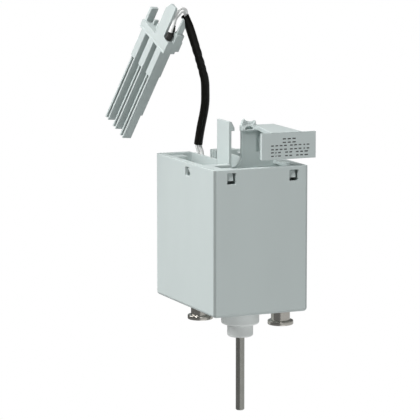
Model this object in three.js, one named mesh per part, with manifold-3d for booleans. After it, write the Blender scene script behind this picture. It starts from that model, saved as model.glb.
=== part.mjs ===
// Plug-in undervoltage release of a moulded-case circuit breaker, millimetres, +Z up.
// The origin is the middle of the box's underside. +X is right, -Y is the front, the push rod points down.
import * as THREE from 'three';
import { mergeVertices } from 'three/addons/utils/BufferGeometryUtils.js';
import Module from 'manifold-3d';

const wasm = await Module();
wasm.setup();

// ---------------------------------------------------------------- driving dimensions

const GAP = 0.3;                     // running gap kept between neighbouring pieces

const BOX = { w: 34.8, d: 50.6, h: 50, wall: 1.3, floor: 2, edge: 1.2 };
const WINDOW = { low: 45.1, high: 48.8, frontLeft: [-12.54, -9.36], frontRight: [10.4, 13.65] };
const SIDE_WINDOW = { low: 45.5, high: 48.45, from: -4.74, to: -0.87 };

const AXIS_Y = -8;                   // the push rod's axis is at x = 0, y = AXIS_Y
const BOSS = { r: 6.55, low: -5.9, bore: 4.75, round: 0.8 };
const BUSH = { r: 4.45, low: -10.3, bore: 1.85, flangeR: 6.2, flangeTop: 3.8, round: 0.8 };
const ROD = { r: 1.5, low: -36.3, high: 12.7, grooveR: 0.95, grooveLow: 5.1, grooveHigh: 6.3 };

const STUD = {
  headR: 4.4, headLow: -5.2, headHigh: -3.7, neckR: 3.25, seat: 0.6, shankR: 1.5, shankHigh: 4.9,
};
const STUDS = { left: [-10.6, 1.95], right: [10.6, -17.95] };

const COVER = { wall: 1.1, low: 37.2, deck: 38.4 };
const PARTITION = { thick: 1, left: -5, right: 5.6, front: -9.5, end: 14 };
const CROSS_WALL = { front: -10.8, back: -9.8, landFront: -13.8, landLow: 48.9, notch: [-6, 47.6] };
const ARM = { x: -5, thick: 1, from: -9.5, to: 0.55, low: 40.2, high: 64.1, barbOut: 1.15, barbLow: 60.9 };
const FLAG = {
  left: 0.7, right: 12.7, front: -7.7, back: -6.2, high: 60.7, leftFlare: 3.8, rightFlare: 2.7,
};
const FLAG_FOOT = { low: 47.9, right: 14.6 };
const FLAG_SLOT = { left: 6.1, right: 7.6, low: 53.2, high: 60.2, deep: 0.9 };
const ROOF = { back: [6.2, 13.2], front: [3.6, 14.9], top: [62.3, 61.7], thick: 1.5 };
const LABEL = { left: 0.1, right: 20.2, low: 52.5, high: 61.5, front: -25, thick: 1.2 };
const CROWN = { left: 0.4, front: -8.7, base: 60.9, top: 62.4, horn: 0.45 };
const FRONT_LEDGE = { left: -15.5, right: -9.3, back: -20.4, low: 48.9, filler: -12.6 };
const BACK_NOTCH = { left: -4.6, right: 9.2, front: 21.5, low: 46.5 };
const RIGHT_DECK = { left: 12.5, low: 48.8, slot: [13.2, 14.2, -19.8, -13.2], slotFloor: 49.2 };
const CLAMP = {
  left: 0.4, right: 9.05, front: 14.3, back: 18.8, low: 38.7, high: 51.3, grooves: [15.2, 17.3],
};
const NICHE = { deep: 4.6, sideDeep: 2.6, wall: 0.7, low: 0.5, roof: 0.5, side: 0.3 };
const LEAD_HOLE = [-4, -1, 19, 22];

const YOKE = { halfWidth: 13, halfDepth: 10, low: 5.3, high: 35, plate: 1.5 };
const BOBBIN = { bore: 5.3, tube: 6.2, flangeR: 10.9, flange: 1.2, low: 7.1, high: 33.2 };
const COIL = { r: 10.2, tapeR: 10.8 };
const TUBE = { r: 5, bore: 4.6, low: 5, high: 32.9 };
const CORE = { r: 4.3, low: 25.3, neckR: 2.5, high: 36.4, grooveR: 2.1, clipLow: 35.3, clipHigh: 35.9 };
const ARMATURE = { r: 4.3, low: 8, high: 18.6 };
const SPRING = { pocketR: 3, low: 15.3, high: 29.7, meanR: 2.35, wireR: 0.25, turns: 7 };

const BOARD = { halfWidth: 14.5, front: 8.8, back: 10.4, low: 4.5, high: 36 };

const WIRE_R = 0.55;
const SLEEVE_R = 1.5;

// The lead's route, from the board up through the cover, and over into the plug.
const WIRE_A_LOW = [[-3.2, 20.5, 33.5], [-3.2, 20.5, 46], [-3.2, 20.6, 50], [-3.8, 20.7, 52.6]];
const WIRE_B_LOW = [[-1.9, 20.3, 33.5], [-1.9, 20.3, 46], [-1.9, 20.3, 50], [-2.5, 20.6, 52.6]];
const SLEEVE_ROUTE = [
  [-3.2, 20.8, 52.9], [-3, 20.5, 55.2], [-2.6, 19.7, 59.3], [-2.2, 18.6, 63.4], [-2.1, 17.3, 67.6],
  [-2.5, 16.2, 71.7], [-3.2, 15, 75.8], [-4.6, 14.2, 80], [-7.4, 12.9, 87.3], [-10.1, 12.3, 94.6],
  [-11.75, 12.54, 98.9],
];
const WIRE_A_HIGH = [
  [-11.4, 12.1, 99.35], [-11.5, 11.9, 100.15], [-12.1, 11.6, 100.9], [-13.1, 11.2, 101.3],
  [-14.3, 10.7, 101.1],
  [-15.2, 10.3, 100.4], [-16.1, 9.9, 99.4], [-16.6, 9.55, 98.1], [-17.15, 9.4, 96.7], [-17.75, 9.45, 95.2],
  [-18.18, 9.76, 93.38],
];
const WIRE_B_HIGH = [
  [-11.3, 13.3, 99.35], [-11.6, 13.3, 100], [-12.3, 13.1, 100.25], [-13.1, 12.8, 99.9], [-13.9, 12.5, 99.2],
  [-14.9, 11.9, 98.5], [-15.8, 11.2, 97.7], [-16.25, 10.85, 96.9], [-16.39, 10.8, 95.9],
];

// The plug's own frame: x runs along its row of legs, y away from its face, z up its legs.
const PLUG_PLACE = [-19.1, 9.7, 91.7];
const PLUG_ROW = [0.161, -0.848, -0.505];
const PLUG_UP = [0.198, -0.473, 0.858];
const LEG = { first: -11.6, pitch: 5.45, wide: 2.9, slim: 2.25, top: -6.2, step: -17, tip: -43, deep: 4.7,
  slimDeep: 4.3, tipDeep: 3.6, tipStep: -33.3, slot: 0.9, slotDeep: 1.8 };

// ---------------------------------------------------------------- finishes

const finish = (color, roughness, metalness = 0) =>
  new THREE.MeshStandardMaterial({ color, roughness, metalness });
const GREY_PLASTIC = finish(0xc3ccca, 0.45);
const STEEL = finish(0xa8a8a2, 0.3, 1);
const NICKEL = finish(0xc4beb4, 0.2, 1);
const ZINC = finish(0xb4b8ba, 0.35, 1);
const BRASS = finish(0xb8964a, 0.3, 1);
const COPPER = finish(0xa8542c, 0.35, 1);
const DARK_NYLON = finish(0x2b2c2e, 0.6);
const RUBBER = finish(0x1c1b19, 0.7);
const WHITE_WIRE = finish(0xe9e9e4, 0.4);
const TAPE = finish(0xd8b23c, 0.4);
const BOARD_GREEN = finish(0x1f5a3a, 0.5);
const BLACK_EPOXY = finish(0x1d1d1f, 0.5);
const BLUE_EPOXY = finish(0x2b5fa8, 0.4);

// ---------------------------------------------------------------- shape helpers

function solid(geometry) {
  const bare = new THREE.BufferGeometry();
  bare.setAttribute('position', geometry.getAttribute('position').clone());
  if (geometry.index) bare.setIndex(geometry.index.clone());
  const merged = mergeVertices(bare, 1e-4);
  const corners = merged.index.array;
  const kept = [];
  for (let i = 0; i < corners.length; i += 3) {
    const [a, b, c] = corners.slice(i, i + 3);
    if (a !== b && b !== c && c !== a) kept.push(a, b, c);
  }
  return new wasm.Manifold(new wasm.Mesh({
    numProp: 3,
    vertProperties: new Float32Array(merged.attributes.position.array),
    triVerts: new Uint32Array(kept),
  }));
}

function geometryOf(body) {
  const mesh = body.getMesh();
  const geometry = new THREE.BufferGeometry();
  geometry.setAttribute('position', new THREE.BufferAttribute(new Float32Array(mesh.vertProperties), 3));
  geometry.setIndex([...mesh.triVerts]);
  geometry.computeVertexNormals();
  return geometry;
}

const join = (first, ...rest) => rest.reduce((sum, next) => sum.add(next), first);
const cut = (first, ...rest) => rest.reduce((sum, next) => sum.subtract(next), first);

function block(x0, x1, y0, y1, z0, z1) {
  const geometry = new THREE.BoxGeometry(x1 - x0, y1 - y0, z1 - z0);
  geometry.translate((x0 + x1) / 2, (y0 + y1) / 2, (z0 + z1) / 2);
  return solid(geometry);
}

function rod(r, z0, z1, x = 0, y = 0, sides = 32) {
  const geometry = new THREE.CylinderGeometry(r, r, z1 - z0, sides);
  geometry.rotateX(Math.PI / 2).translate(x, y, (z0 + z1) / 2);
  return solid(geometry);
}

// A turned body: [radius, height] points anticlockwise, from axis to axis or closed on itself.
function turned(profile, sides = 40) {
  const points = profile.map(([r, z]) => new THREE.Vector2(r, z));
  return solid(new THREE.LatheGeometry(points, sides).rotateX(Math.PI / 2));
}

function ring(inner, outer, z0, z1, sides = 40) {
  return turned([[inner, z0], [outer, z0], [outer, z1], [inner, z1], [inner, z0]], sides);
}

const FRONT_VIEW = new THREE.Matrix4().makeBasis(
  new THREE.Vector3(1, 0, 0), new THREE.Vector3(0, 0, 1), new THREE.Vector3(0, -1, 0));
const SIDE_VIEW = new THREE.Matrix4().makeBasis(
  new THREE.Vector3(0, 1, 0), new THREE.Vector3(0, 0, 1), new THREE.Vector3(1, 0, 0));

function outline(points) {
  if (points instanceof THREE.Shape) return points;
  return new THREE.Shape(points.map(([a, b]) => new THREE.Vector2(a, b)));
}

function extruded(points, depth) {
  return new THREE.ExtrudeGeometry(outline(points), { depth, bevelEnabled: false, curveSegments: 6 });
}

// An outline in x and z, from y0 back to y1.
function frontProfile(points, y0, y1) {
  return solid(extruded(points, y1 - y0).applyMatrix4(FRONT_VIEW).translate(0, y1, 0));
}

// An outline in y and z, from x0 to x1.
function sideProfile(points, x0, x1) {
  return solid(extruded(points, x1 - x0).applyMatrix4(SIDE_VIEW).translate(x0, 0, 0));
}

// An outline in x and y, from z0 up to z1.
function planProfile(points, z0, z1) {
  return solid(extruded(points, z1 - z0).translate(0, 0, z0));
}

function roundedRectangle(halfWidth, halfDepth, r) {
  const shape = new THREE.Shape();
  shape.moveTo(halfWidth - r, -halfDepth);
  shape.absarc(halfWidth - r, -halfDepth + r, r, -Math.PI / 2, 0, false);
  shape.absarc(halfWidth - r, halfDepth - r, r, 0, Math.PI / 2, false);
  shape.absarc(-halfWidth + r, halfDepth - r, r, Math.PI / 2, Math.PI, false);
  shape.absarc(-halfWidth + r, -halfDepth + r, r, Math.PI, 1.5 * Math.PI, false);
  return shape;
}

function circle(r, sides) {
  const shape = new THREE.Shape();
  for (let i = 0; i < sides; i++) {
    const angle = (2 * Math.PI * i) / sides;
    const point = [r * Math.cos(angle), r * Math.sin(angle)];
    if (i === 0) shape.moveTo(...point);
    else shape.lineTo(...point);
  }
  return shape;
}

function wireAlong(route, r, steps, sides = 8) {
  const curve = new THREE.CatmullRomCurve3(route.map((p) => new THREE.Vector3(...p)), false, 'centripetal');
  return new THREE.ExtrudeGeometry(circle(r, sides), { steps, extrudePath: curve, bevelEnabled: false });
}

function piece(name, shape, material) {
  const geometry = shape instanceof THREE.BufferGeometry ? shape : geometryOf(shape);
  const mesh = new THREE.Mesh(geometry, material);
  mesh.name = name;
  return mesh;
}

// ---------------------------------------------------------------- housing

function housing() {
  const halfW = BOX.w / 2;
  const halfD = BOX.d / 2;
  const small = 0.1;
  const tall = new THREE.ExtrudeGeometry(
    roundedRectangle(halfW - BOX.edge, halfD - BOX.edge, small),
    { depth: BOX.h, bevelThickness: BOX.edge, bevelSize: BOX.edge, bevelSegments: 3, curveSegments: 3 },
  ).translate(0, 0, BOX.edge);
  const lid = block(-halfW - 1, halfW + 1, -halfD - 1, halfD + 1, BOX.h, BOX.h + 5);
  const insideW = halfW - BOX.wall;
  const insideD = halfD - BOX.wall;
  const room = block(-insideW, insideW, -insideD, insideD, BOX.floor, BOX.h + 5);
  const boss = turned([
    [0, BOSS.low], [BOSS.r - BOSS.round, BOSS.low], [BOSS.r - 0.25, BOSS.low + 0.25],
    [BOSS.r, BOSS.low + BOSS.round], [BOSS.r, 1], [0, 1],
  ]).translate([0, AXIS_Y, 0]);
  const bore = rod(BOSS.bore, BOSS.low - 1, BOX.floor + 1, 0, AXIS_Y);
  let shell = cut(join(cut(solid(tall), lid, room), boss), bore, backNotch());
  for (const [x, y] of Object.values(STUDS)) {
    const seat = rod(STUD.neckR + GAP, -1, STUD.seat, x, y);
    shell = cut(shell, seat, rod(STUD.shankR + GAP, 0, BOX.floor + 1, x, y, 20));
  }
  for (const [from, to] of [WINDOW.frontLeft, WINDOW.frontRight]) {
    shell = cut(shell, block(from, to, -halfD - 1, halfD + 1, WINDOW.low, WINDOW.high));
  }
  const { from, to, low, high } = SIDE_WINDOW;
  shell = cut(shell, block(-halfW - 1, halfW + 1, from, to, low, high));
  return join(shell, ...yokePosts(), ...boardRails());
}

// The back wall of the box and of its cover is lower where the lead passes.
function backNotch() {
  return block(BACK_NOTCH.left, BACK_NOTCH.right, BACK_NOTCH.front, BOX.d, BACK_NOTCH.low, BOX.h + 1);
}

// Four stubs on the floor carry the magnet frame.
function yokePosts() {
  const places = [[-11, -16], [11, 0.5], [4.5, -16.5], [-3.5, 0.5]];
  return places.map(([x, y]) => block(x - 1.5, x + 1.5, y - 1.5, y + 1.5, BOX.floor - 0.5, YOKE.low - GAP));
}

// Two pairs of ribs on the side walls guide the board's edges.
function boardRails() {
  const rails = [];
  const rib = 0.8;
  for (const side of [-1, 1]) {
    for (const y of [BOARD.front - GAP - rib, BOARD.back + GAP]) {
      const x = [side * (BOX.w / 2 - BOX.wall + 0.2), side * 13.6].sort((a, b) => a - b);
      rails.push(block(...x, y, y + rib, BOX.floor - 0.5, 34));
    }
  }
  return rails;
}

// ---------------------------------------------------------------- top cover

// Behind each window the cover has a small closed niche, and a tongue with a wedge stands in it.
function frontNiche([from, to], side) {
  const outer = BOX.d / 2 - BOX.wall - GAP;
  const inner = outer - COVER.wall;
  const low = WINDOW.low - NICHE.low;
  const span = (a, b) => [side * a, side * b].sort((p, q) => p - q);
  const depth = span(inner + 0.1, inner - NICHE.deep);
  const hollowDepth = span(outer + 1, inner - NICHE.deep + NICHE.wall);
  const shell = block(from - 1, to + 1, ...depth, low - NICHE.wall, WINDOW.high + NICHE.roof);
  const hollow = block(from - NICHE.side, to + NICHE.side, ...hollowDepth, low, WINDOW.high);
  const tongue = block(from + 0.12, from + 2.4, ...span(outer - 0.1, outer - 0.6), 46.2, WINDOW.high + 0.1);
  const steps = [[0, 46.2], [1.4, 46.2], [0.7, 48.5], [0, 48.5]];
  const wedge = steps.map(([out, z]) => [side * (outer - 0.2 + out), z]);
  const grip = sideProfile(side > 0 ? wedge : wedge.reverse(), from + 0.12, from + 2.4);
  return { shell, hollow, catches: join(tongue, grip) };
}

function sideNiche(side) {
  const outer = BOX.w / 2 - BOX.wall - GAP;
  const inner = outer - COVER.wall;
  const { from, to } = SIDE_WINDOW;
  const low = SIDE_WINDOW.low - NICHE.low;
  const high = SIDE_WINDOW.high;
  const span = (a, b) => [side * a, side * b].sort((p, q) => p - q);
  const depth = span(inner + 0.1, inner - NICHE.sideDeep);
  const hollowDepth = span(outer + 1, inner - NICHE.sideDeep + NICHE.wall);
  const shell = block(...depth, from - 1, to + 1, low - NICHE.wall, high + NICHE.roof);
  const hollow = block(...hollowDepth, from - NICHE.side, to + NICHE.side, low, high);
  const tongue = block(...span(outer - 0.1, outer - 0.6), from + 0.24, from + 2.3, 46.4, high + 0.1);
  const wedge = [[from + 0.24, 46.6], [from + 2.24, 48.2], [from + 0.24, 48.2]];
  const grip = sideProfile(wedge, ...span(outer - 0.2, outer + 1.4));
  return { shell, hollow, catches: join(tongue, grip) };
}

function flagWall() {
  const { left, right, front, back, leftFlare, rightFlare } = FLAG;
  const low = FLAG_FOOT.low;
  const top = BOX.h - 0.3;
  const wall = new THREE.Shape();
  wall.moveTo(left - leftFlare, low);
  wall.lineTo(FLAG_FOOT.right, low);
  wall.lineTo(FLAG_FOOT.right, top);
  wall.lineTo(right + rightFlare - 0.9, top);
  wall.absarc(right + rightFlare, top + rightFlare, rightFlare, 1.39 * Math.PI, Math.PI, true);
  wall.lineTo(right, FLAG.high);
  wall.lineTo(left, FLAG.high);
  wall.absarc(left - leftFlare, low + leftFlare, leftFlare, 0, -Math.PI / 2, true);
  const slotDepth = [front - 1, front + FLAG_SLOT.deep];
  const slot = block(FLAG_SLOT.left, FLAG_SLOT.right, ...slotDepth, FLAG_SLOT.low, FLAG_SLOT.high);
  return cut(frontProfile(wall, front, back), slot);
}

// The roof slopes down from the wall to the label plate and widens on the way.
function flagRoof() {
  const under = ROOF.top[0] - ROOF.thick;
  const run = [
    [LABEL.front + 0.1, ROOF.top[1] - ROOF.thick], [FLAG.back, under], [FLAG.back, ROOF.top[0]],
    [LABEL.front + 0.1, ROOF.top[1]],
  ];
  const plan = [
    [ROOF.front[0], LABEL.front], [ROOF.front[1], LABEL.front],
    [ROOF.back[1], FLAG.back], [ROOF.back[0], FLAG.back],
  ];
  return sideProfile(run, -1, 22).intersect(planProfile(plan, 50, 70));
}

// Two pointed horns with a sagging web between them, over a small arch.
function crown() {
  const { left, front, base, top } = CROWN;
  const right = ROOF.back[0] + 0.5;
  const plate = sideProfile([
    [front, base - 0.4], [FLAG.back, base - 0.4], [FLAG.back, top], [front + 0.9, top], [front, base + 0.3],
  ], left, right);
  const hornY = front + 0.9;
  const horn = (points) => frontProfile(points, hornY, hornY + CROWN.horn);
  const leftHorn = horn([[left, top - 0.2], [2.5, top - 0.2], [1.42, 64.95]]);
  const rightHorn = horn([[4.4, top - 0.2], [6, top - 0.2], [5.7, 64]]);
  const web = sideProfile([
    [hornY + 0.1, top - 0.1], [FLAG.back, top - 0.1], [FLAG.back, 64.3], [FLAG.back - 0.3, 64.3],
  ], left + 0.4, 6);
  const sag = new THREE.Shape();
  sag.moveTo(1.42, 66);
  sag.lineTo(1.42, 64.9);
  sag.quadraticCurveTo(3.6, 62.9, 5.7, 63.9);
  sag.lineTo(7, 63.9);
  sag.lineTo(7, 66);
  const slant = [[left - 1, top], [left + 0.2, top], [1.42, 64.9], [1.42, 66], [left - 1, 66]];
  const leftCut = frontProfile(slant, -10, -5);
  return join(plate, leftHorn, rightHorn, cut(web, frontProfile(sag, -10, -5), leftCut));
}

function topCover() {
  const halfW = BOX.w / 2 - BOX.wall - GAP;
  const halfD = BOX.d / 2 - BOX.wall - GAP;
  const innerW = halfW - COVER.wall;
  const innerD = halfD - COVER.wall;
  const { thick, left, right, front, end } = PARTITION;
  const tub = cut(
    block(-halfW, halfW, -halfD, halfD, COVER.low, BOX.h),
    block(-innerW, innerW, -innerD, innerD, COVER.deck, BOX.h + 1),
    block(LEAD_HOLE[0], LEAD_HOLE[1], LEAD_HOLE[2], LEAD_HOLE[3], COVER.low - 1, COVER.deck + 1),
  );
  const floor = COVER.deck - 0.2;
  const leftPartition = cut(
    block(left, left + thick, front, innerD + 0.2, floor, BOX.h),
    block(left - 1, left + 2, ARM.from - 2, ARM.to + GAP, ARM.low - GAP, BOX.h + 1),
  );
  const rightPartition = block(right, right + 0.75, FLAG.back - 0.2, end, floor, BOX.h);
  const [notchX, notchZ] = CROSS_WALL.notch;
  const crossWall = cut(
    join(
      block(-innerW - 0.2, left + thick, CROSS_WALL.front, CROSS_WALL.back, floor, BOX.h),
      block(-innerW - 0.2, left + thick, CROSS_WALL.landFront, CROSS_WALL.back, CROSS_WALL.landLow, BOX.h),
    ),
    block(notchX, left + thick + 1, CROSS_WALL.landFront - 1, CROSS_WALL.back + 1, notchZ, BOX.h + 1),
  );
  const { filler, low: ledgeLow } = FRONT_LEDGE;
  const ledge = join(
    block(FRONT_LEDGE.left, FRONT_LEDGE.right, -innerD - 0.2, FRONT_LEDGE.back, ledgeLow, BOX.h),
    block(FRONT_LEDGE.left, filler, FRONT_LEDGE.back - 0.5, CROSS_WALL.front, ledgeLow, BOX.h),
  );
  const [slotX0, slotX1, slotY0, slotY1] = RIGHT_DECK.slot;
  const rightDeck = cut(
    block(RIGHT_DECK.left, innerW + 0.2, -innerD - 0.2, FLAG.back, RIGHT_DECK.low, BOX.h),
    block(slotX0, slotX1, slotY0, slotY1, RIGHT_DECK.slotFloor, BOX.h + 1),
  );
  const archRoom = new THREE.Shape();
  archRoom.absellipse(3.1, CROWN.base + 0.1, 1.55, 1.1, 0, Math.PI, false);
  const labelDepth = [LABEL.front, LABEL.front + LABEL.thick];
  const label = block(LABEL.left, LABEL.right, ...labelDepth, LABEL.low, LABEL.high);
  const niches = [sideNiche(-1), sideNiche(1)];
  for (const side of [-1, 1]) {
    niches.push(frontNiche(WINDOW.frontLeft, side), frontNiche(WINDOW.frontRight, side));
  }
  const walls = join(tub, leftPartition, rightPartition, crossWall, ledge, rightDeck);
  const flag = join(flagWall(), flagRoof(), crown(), label);
  const body = join(walls, flag, ...niches.map((niche) => niche.shell));
  const openings = [frontProfile(archRoom, -10, -7), backNotch(), ...niches.map((niche) => niche.hollow)];
  return join(cut(body, ...openings), ...niches.map((niche) => niche.catches));
}

function latchArm() {
  const inner = ARM.x + ARM.thick;
  return frontProfile([
    [ARM.x, ARM.low], [inner, ARM.low], [inner, ARM.barbLow], [inner + ARM.barbOut, ARM.barbLow],
    [inner + ARM.barbOut, ARM.barbLow + 1.1], [inner, ARM.high], [ARM.x, ARM.high],
  ], ARM.from, ARM.to);
}

// A block with two grooves down its left end, beside the wires.
function leadClamp() {
  const { left, right, front, back, low, high } = CLAMP;
  const body = block(left, right, front, back, low, high);
  const wide = 1;
  const depth = 0.6;
  const groove = (y) => block(left - 1, left + depth, y, y + wide, 42, high + 1);
  return cut(body, ...CLAMP.grooves.map(groove));
}

// ---------------------------------------------------------------- magnet, in its own frame about the rod's axis

function guideBush() {
  const { r, low, bore, flangeR, flangeTop, round } = BUSH;
  const flangeLow = BOX.floor + GAP;
  return turned([
    [bore, low], [r - round, low], [r - 0.25, low + 0.25], [r, low + round],
    [r, flangeLow], [flangeR, flangeLow],
    [flangeR, flangeTop], [bore, flangeTop], [bore, low],
  ]);
}

function pushRod() {
  const chamfer = 0.3;
  const { r, low, high, grooveR, grooveLow, grooveHigh } = ROD;
  return turned([
    [0, low], [r - chamfer, low], [r, low + chamfer],
    [r, grooveLow], [grooveR, grooveLow], [grooveR, grooveHigh],
    [r, grooveHigh], [r, high], [0, high],
  ], 28);
}

function retainingClip() {
  const body = ring(ROD.grooveR + GAP, 3.2, ROD.grooveLow + GAP, ROD.grooveHigh - GAP, 28);
  return cut(body, block(-0.8, 0.8, -4, 0, 0, 10));
}

function armature() {
  const { r, low, high } = ARMATURE;
  const rodR = ROD.r + GAP;
  return turned([
    [rodR, low], [r, low], [r, high], [SPRING.pocketR, high], [SPRING.pocketR, SPRING.low - GAP],
    [0, SPRING.low - GAP], [0, ROD.high + GAP], [rodR, ROD.high + GAP], [rodR, low],
  ]);
}

function fixedCore() {
  const { r, low, neckR, high, grooveR, clipLow, clipHigh } = CORE;
  return turned([
    [SPRING.pocketR, low], [r, low], [r, TUBE.high], [neckR, TUBE.high], [neckR, clipLow - GAP / 2],
    [grooveR, clipLow - GAP / 2], [grooveR, clipHigh + GAP / 2],
    [neckR, clipHigh + GAP / 2], [neckR, high], [0, high],
    [0, SPRING.high + GAP], [SPRING.pocketR, SPRING.high + GAP], [SPRING.pocketR, low],
  ]);
}

class Helix extends THREE.Curve {
  constructor(r, z0, z1, turns) {
    super();
    Object.assign(this, { r, z0, z1, turns });
  }

  getPoint(t, target = new THREE.Vector3()) {
    const angle = 2 * Math.PI * this.turns * t;
    const height = this.z0 + (this.z1 - this.z0) * t;
    return target.set(this.r * Math.cos(angle), this.r * Math.sin(angle), height);
  }
}

function returnSpring() {
  const { meanR, wireR, low, high, turns } = SPRING;
  const path = new Helix(meanR, low + wireR, high - wireR, turns);
  const steps = turns * 12;
  return new THREE.ExtrudeGeometry(circle(wireR, 6), { steps, extrudePath: path, bevelEnabled: false });
}

function bobbin() {
  const { bore, tube, flangeR, flange, low, high } = BOBBIN;
  return turned([
    [bore, low], [flangeR, low], [flangeR, low + flange], [tube, low + flange], [tube, high - flange],
    [flangeR, high - flange], [flangeR, high], [bore, high], [bore, low],
  ]);
}

function yokeFrame() {
  const { halfWidth, halfDepth, low, high, plate } = YOKE;
  const cheek = halfWidth - plate;
  const frame = cut(
    block(-halfWidth, halfWidth, -halfDepth, halfDepth, low, high),
    block(-cheek, cheek, -halfDepth - 1, halfDepth + 1, low + plate, high + 1),
  );
  return cut(frame, rod(TUBE.r + GAP, 0, low + plate + 1));
}

function yokeTopPlate() {
  const { halfWidth, halfDepth, high, plate } = YOKE;
  const reach = halfWidth - plate - GAP;
  const hole = rod(CORE.neckR + GAP, 30, 40, 0, 0, 28);
  return cut(block(-reach, reach, -halfDepth, halfDepth, high - plate, high), hole);
}

function magnet() {
  const group = new THREE.Group();
  const windLow = BOBBIN.low + BOBBIN.flange + GAP;
  const windHigh = BOBBIN.high - BOBBIN.flange - GAP;
  group.position.set(0, AXIS_Y, 0);
  group.add(
    piece('guide_bush', guideBush(), GREY_PLASTIC),
    piece('push_rod', pushRod(), STEEL),
    piece('buffer_ring', ring(1.9, 3.4, BUSH.flangeTop + GAP, TUBE.low + 0.1, 28), RUBBER),
    piece('retaining_clip', retainingClip(), ZINC),
    piece('armature', armature(), STEEL),
    piece('return_spring', returnSpring(), STEEL),
    piece('fixed_core', fixedCore(), STEEL),
    piece('core_clip', ring(CORE.grooveR + GAP, 4.2, CORE.clipLow, CORE.clipHigh, 28), ZINC),
    piece('guide_tube', ring(TUBE.bore, TUBE.r, TUBE.low, TUBE.high), BRASS),
    piece('bobbin', bobbin(), DARK_NYLON),
    piece('coil_winding', ring(BOBBIN.tube + GAP, COIL.r, windLow, windHigh, 48), COPPER),
    piece('winding_tape', ring(COIL.r + GAP, COIL.tapeR, windLow + 0.4, windHigh - 0.4, 48), TAPE),
    piece('yoke_frame', yokeFrame(), ZINC),
    piece('yoke_top_plate', yokeTopPlate(), ZINC),
  );
  return group;
}

// ---------------------------------------------------------------- mounting studs

function mountingStud() {
  const { headR, headLow, headHigh, neckR, seat, shankR, shankHigh } = STUD;
  const edge = 0.3;
  return turned([
    [0, headLow], [headR - edge, headLow], [headR, headLow + edge],
    [headR, headHigh - edge], [headR - edge, headHigh],
    [neckR, headHigh], [neckR, seat - GAP], [shankR, seat - GAP], [shankR, shankHigh], [0, shankHigh],
  ], 36);
}

function studNut() {
  const acrossCorners = 5.5 / Math.cos(Math.PI / 6) / 2;
  return cut(rod(acrossCorners, BOX.floor + GAP, 4.7, 0, 0, 6), rod(STUD.shankR + GAP, 0, 8, 0, 0, 20));
}

function studs() {
  const group = new THREE.Group();
  for (const [side, [x, y]] of Object.entries(STUDS)) {
    const stud = piece(`mounting_stud_${side}`, mountingStud(), NICKEL);
    const nut = piece(`stud_nut_${side}`, studNut(), ZINC);
    stud.position.set(x, y, 0);
    nut.position.set(x, y, 0);
    group.add(stud, nut);
  }
  return group;
}

// ---------------------------------------------------------------- circuit board

// A short wire from the coil's side to the front of the board.
function coilLead(x) {
  return wireAlong([[x, 2.9, 28], [x, 4.5, 28.3], [x, 6.5, 29], [x, BOARD.front - GAP, 29]], 0.3, 8, 6);
}

function circuitBoard() {
  const group = new THREE.Group();
  const { halfWidth, front, back, low, high } = BOARD;
  const face = back + GAP;
  const can = (r, length) => new THREE.CylinderGeometry(r, r, length, 28);
  const capacitor = piece('smoothing_capacitor', can(4.5, 10), BLACK_EPOXY);
  capacitor.position.set(8.5, face + 5, 12);
  const varistor = piece('varistor', can(4.2, 3), BLUE_EPOXY);
  varistor.position.set(-9.2, face + 1.5, 11);
  const resistor = piece('resistor', can(1.4, 8).rotateZ(Math.PI / 2), TAPE);
  resistor.position.set(-9, face + 1.4, 20);
  group.add(
    piece('circuit_board', block(-halfWidth, halfWidth, front, back, low, high), BOARD_GREEN),
    capacitor, varistor, resistor,
    piece('bridge_rectifier', block(3.5, 13, face, face + 3.2, 21, 31), BLACK_EPOXY),
    piece('controller_chip', block(-3.2, 2.2, face, face + 1.6, 7, 15), BLACK_EPOXY),
    piece('lead_terminal', block(-5.4, 0.4, face, 21.8, 25, 33.2), BOARD_GREEN),
    piece('coil_lead_1', coilLead(-3), COPPER),
    piece('coil_lead_2', coilLead(3), COPPER),
  );
  return group;
}

// ---------------------------------------------------------------- lead

function lead() {
  const group = new THREE.Group();
  group.add(
    piece('lead_wire_a', wireAlong(WIRE_A_LOW, WIRE_R, 8), WHITE_WIRE),
    piece('lead_wire_b', wireAlong(WIRE_B_LOW, WIRE_R, 8), WHITE_WIRE),
    piece('lead_sleeve', wireAlong(SLEEVE_ROUTE, SLEEVE_R, 22, 10), RUBBER),
    piece('plug_wire_a', wireAlong(WIRE_A_HIGH, WIRE_R, 14), WHITE_WIRE),
    piece('plug_wire_b', wireAlong(WIRE_B_HIGH, WIRE_R, 12), WHITE_WIRE),
  );
  return group;
}

// ---------------------------------------------------------------- plug

function plugLeg(index) {
  const edge = LEG.first + index * LEG.pitch;
  const upper = block(edge - LEG.wide, edge, 0, LEG.deep, LEG.step, LEG.top + 0.5);
  const lower = block(edge - LEG.slim, edge, 0, LEG.slimDeep, LEG.tipStep, LEG.step + 0.5);
  const tip = block(edge - LEG.slim, edge, 0, LEG.tipDeep, LEG.tip, LEG.tipStep + 0.5);
  const middle = edge - LEG.slim / 2;
  const slot = block(middle - LEG.slot / 2, middle + LEG.slot / 2, -1, LEG.slotDeep, LEG.tip - 1, LEG.step);
  return cut(join(upper, lower, tip), slot);
}

// The two boots stand side by side on the plug, the second one leaning over; each holds a wire's end.
const BOOT = { r: 1.1, at: [-0.75, 0.75], low: -1.2, high: 1.3 };
const LEANING_BOOT = { r: 0.6, low: [-1.07, 2.5, -0.25], high: [-2.53, 2.5, 3.34] };

function leaningBoot(r) {
  return wireAlong([LEANING_BOOT.low, LEANING_BOOT.high], r, 3, 16);
}

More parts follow.
